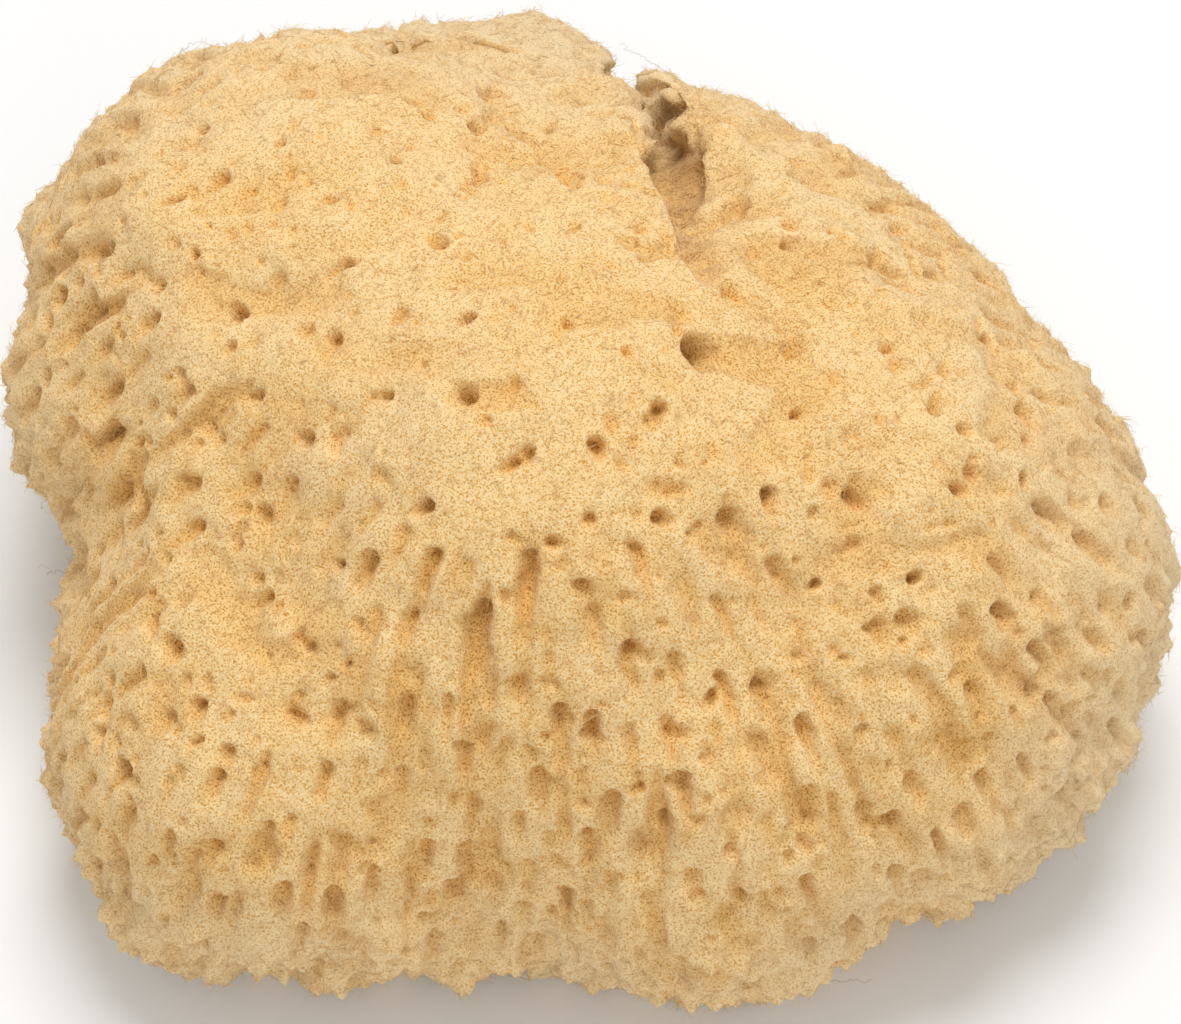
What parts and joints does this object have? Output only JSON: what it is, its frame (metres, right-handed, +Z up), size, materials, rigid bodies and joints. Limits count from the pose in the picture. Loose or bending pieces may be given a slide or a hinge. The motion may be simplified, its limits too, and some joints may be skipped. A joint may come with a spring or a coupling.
{
  "type": "sea sponge",
  "caption": "Natural bath sponge: one soft, fibrous, pitted body of rounded lobes with a cleft, cut off flat at its root so that it rests on the cut.",
  "frame": {"origin": "middle of the sponge's outline seen from above, on the flat cut that it rests on", "axes": "+Z up from the cut to the crown, +X to the right along the longest side, +Y from the front skirt to the back ledge"},
  "size_m": [0.15, 0.136, 0.076],
  "materials": {
    "sponge_fibre": "dry springy felt of fine fibres, cream at the tips and ochre in the pits, fully matt"
  },
  "bodies": {
    "root": {"sponge": "sponge_fibre"}
  },
  "joints": []
}
